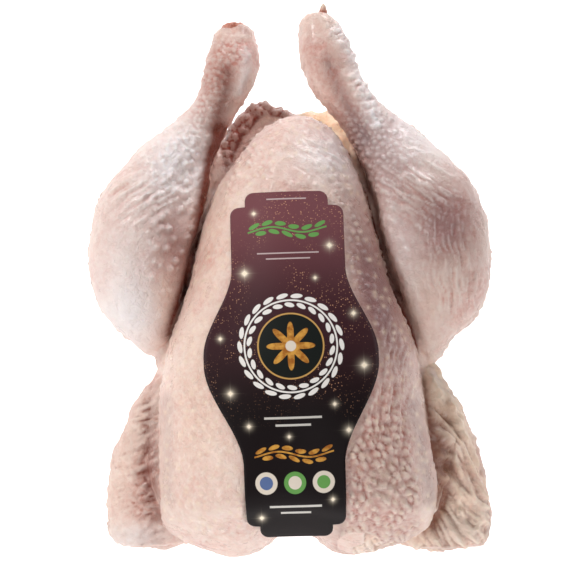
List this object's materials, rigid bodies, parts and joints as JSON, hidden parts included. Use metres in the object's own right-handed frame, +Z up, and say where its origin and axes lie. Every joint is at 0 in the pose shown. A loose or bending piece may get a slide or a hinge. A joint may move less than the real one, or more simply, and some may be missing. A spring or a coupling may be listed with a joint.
{
  "type": "whole raw chicken",
  "caption": "Whole raw dressed chicken lying on its back, legs up and wings folded, with a waisted printed card label laid over the breast.",
  "frame": {"origin": "middle of the footprint, at the height of the surface the back lies on", "axes": "+Z up through the breast, +Y from the neck end to the drumstick ends, +X to the right when seen from above with the neck end nearest"},
  "size_m": [0.1974, 0.2625, 0.1196],
  "materials": {
    "skin": "moist raw poultry skin, pale pink to cream",
    "card": "satin printed card, burgundy to near black"
  },
  "bodies": {
    "root": {"chicken": "skin", "label": "card"}
  },
  "joints": []
}
